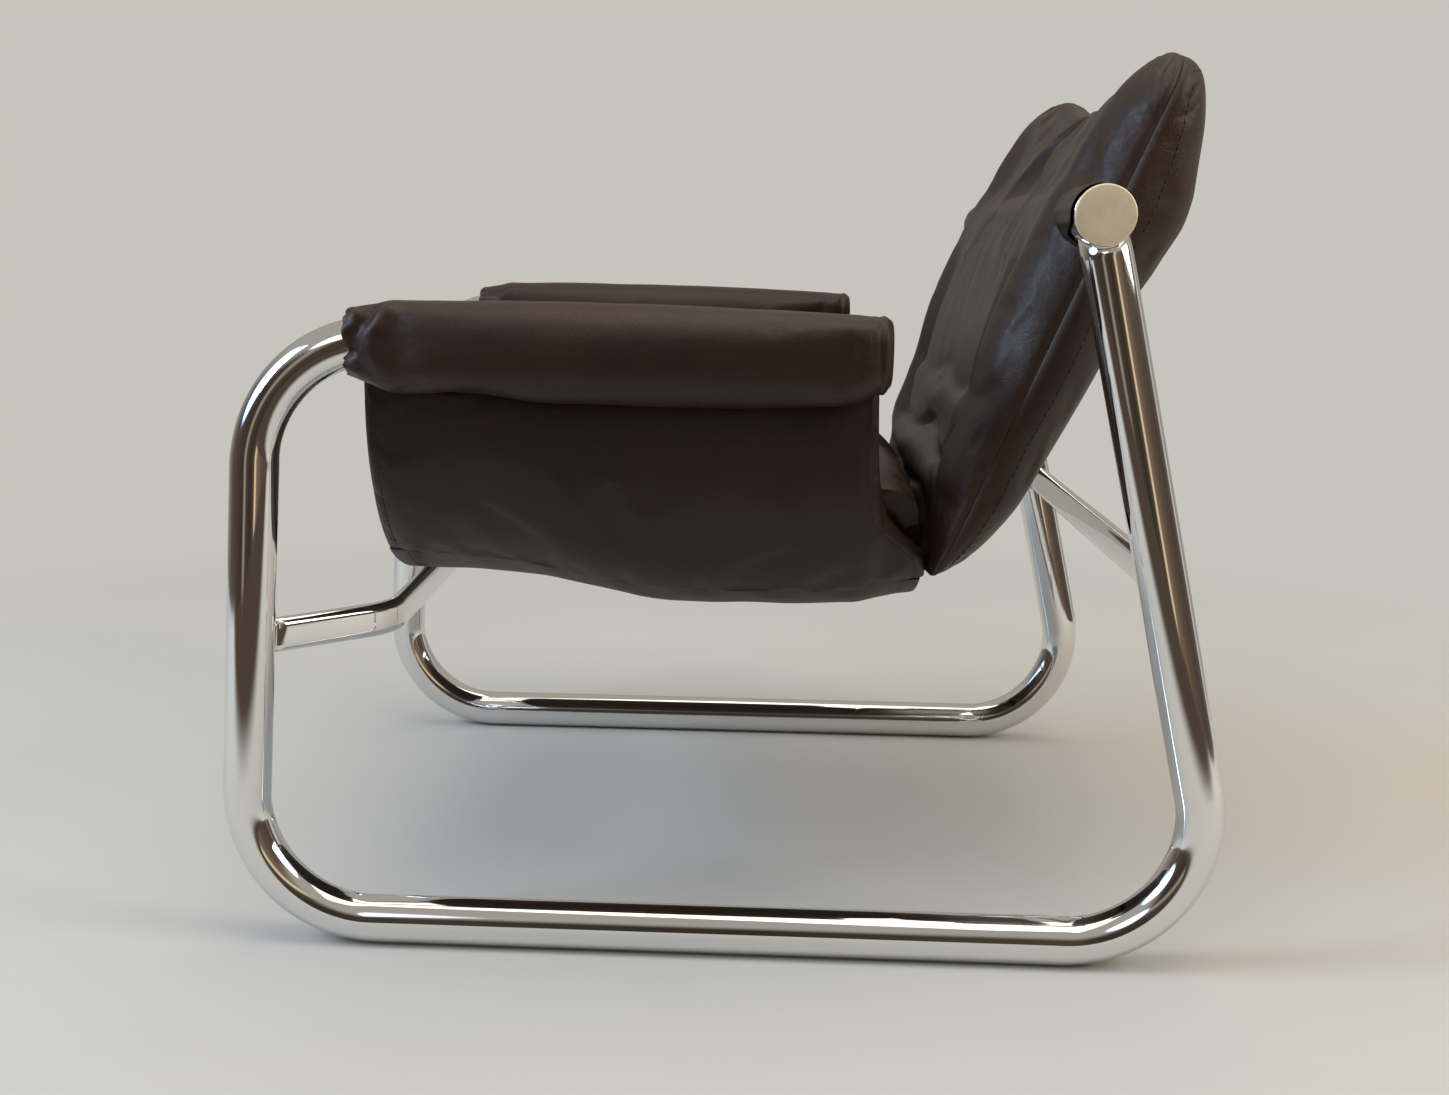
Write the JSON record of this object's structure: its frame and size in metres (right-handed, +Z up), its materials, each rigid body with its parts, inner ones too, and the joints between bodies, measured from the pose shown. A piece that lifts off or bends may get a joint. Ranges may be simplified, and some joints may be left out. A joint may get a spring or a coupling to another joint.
{
  "type": "lounge chair",
  "caption": "Low lounge chair with bent chrome tube side frames, a leather hammock seat, padded arms and a padded back on a cross rail.",
  "frame": {"origin": "centre of the bounding box's footprint, on the floor plane under the side frames", "axes": "+X to the sitter's left along the width, +Y from front to rear, +Z up"},
  "size_m": [0.72, 0.7834, 0.7065],
  "materials": {
    "frame_chrome": "polished",
    "disc_satin": "satin",
    "plug_plastic": "matte",
    "arm_leather": "semi-gloss",
    "side_leather": "semi-gloss",
    "sling_leather": "semi-gloss",
    "cushion_leather": "semi-gloss",
    "back_leather": "semi-gloss"
  },
  "bodies": {
    "root": {"side_frame_left": "frame_chrome", "side_frame_right": "frame_chrome", "front_crossbar": "frame_chrome", "rear_crossbar": "frame_chrome", "back_rail": "frame_chrome", "rail_disc_left": "disc_satin", "rail_disc_right": "disc_satin", "arm_tube_plug_left": "plug_plastic", "arm_tube_plug_right": "plug_plastic", "arm_pad_left": "arm_leather", "arm_pad_right": "arm_leather", "side_panel_left": "side_leather", "side_panel_right": "side_leather", "seat_sling": "sling_leather", "seat_cushion": "cushion_leather", "back_front_panel": "back_leather", "back_rear_panel": "back_leather"}
  },
  "joints": []
}
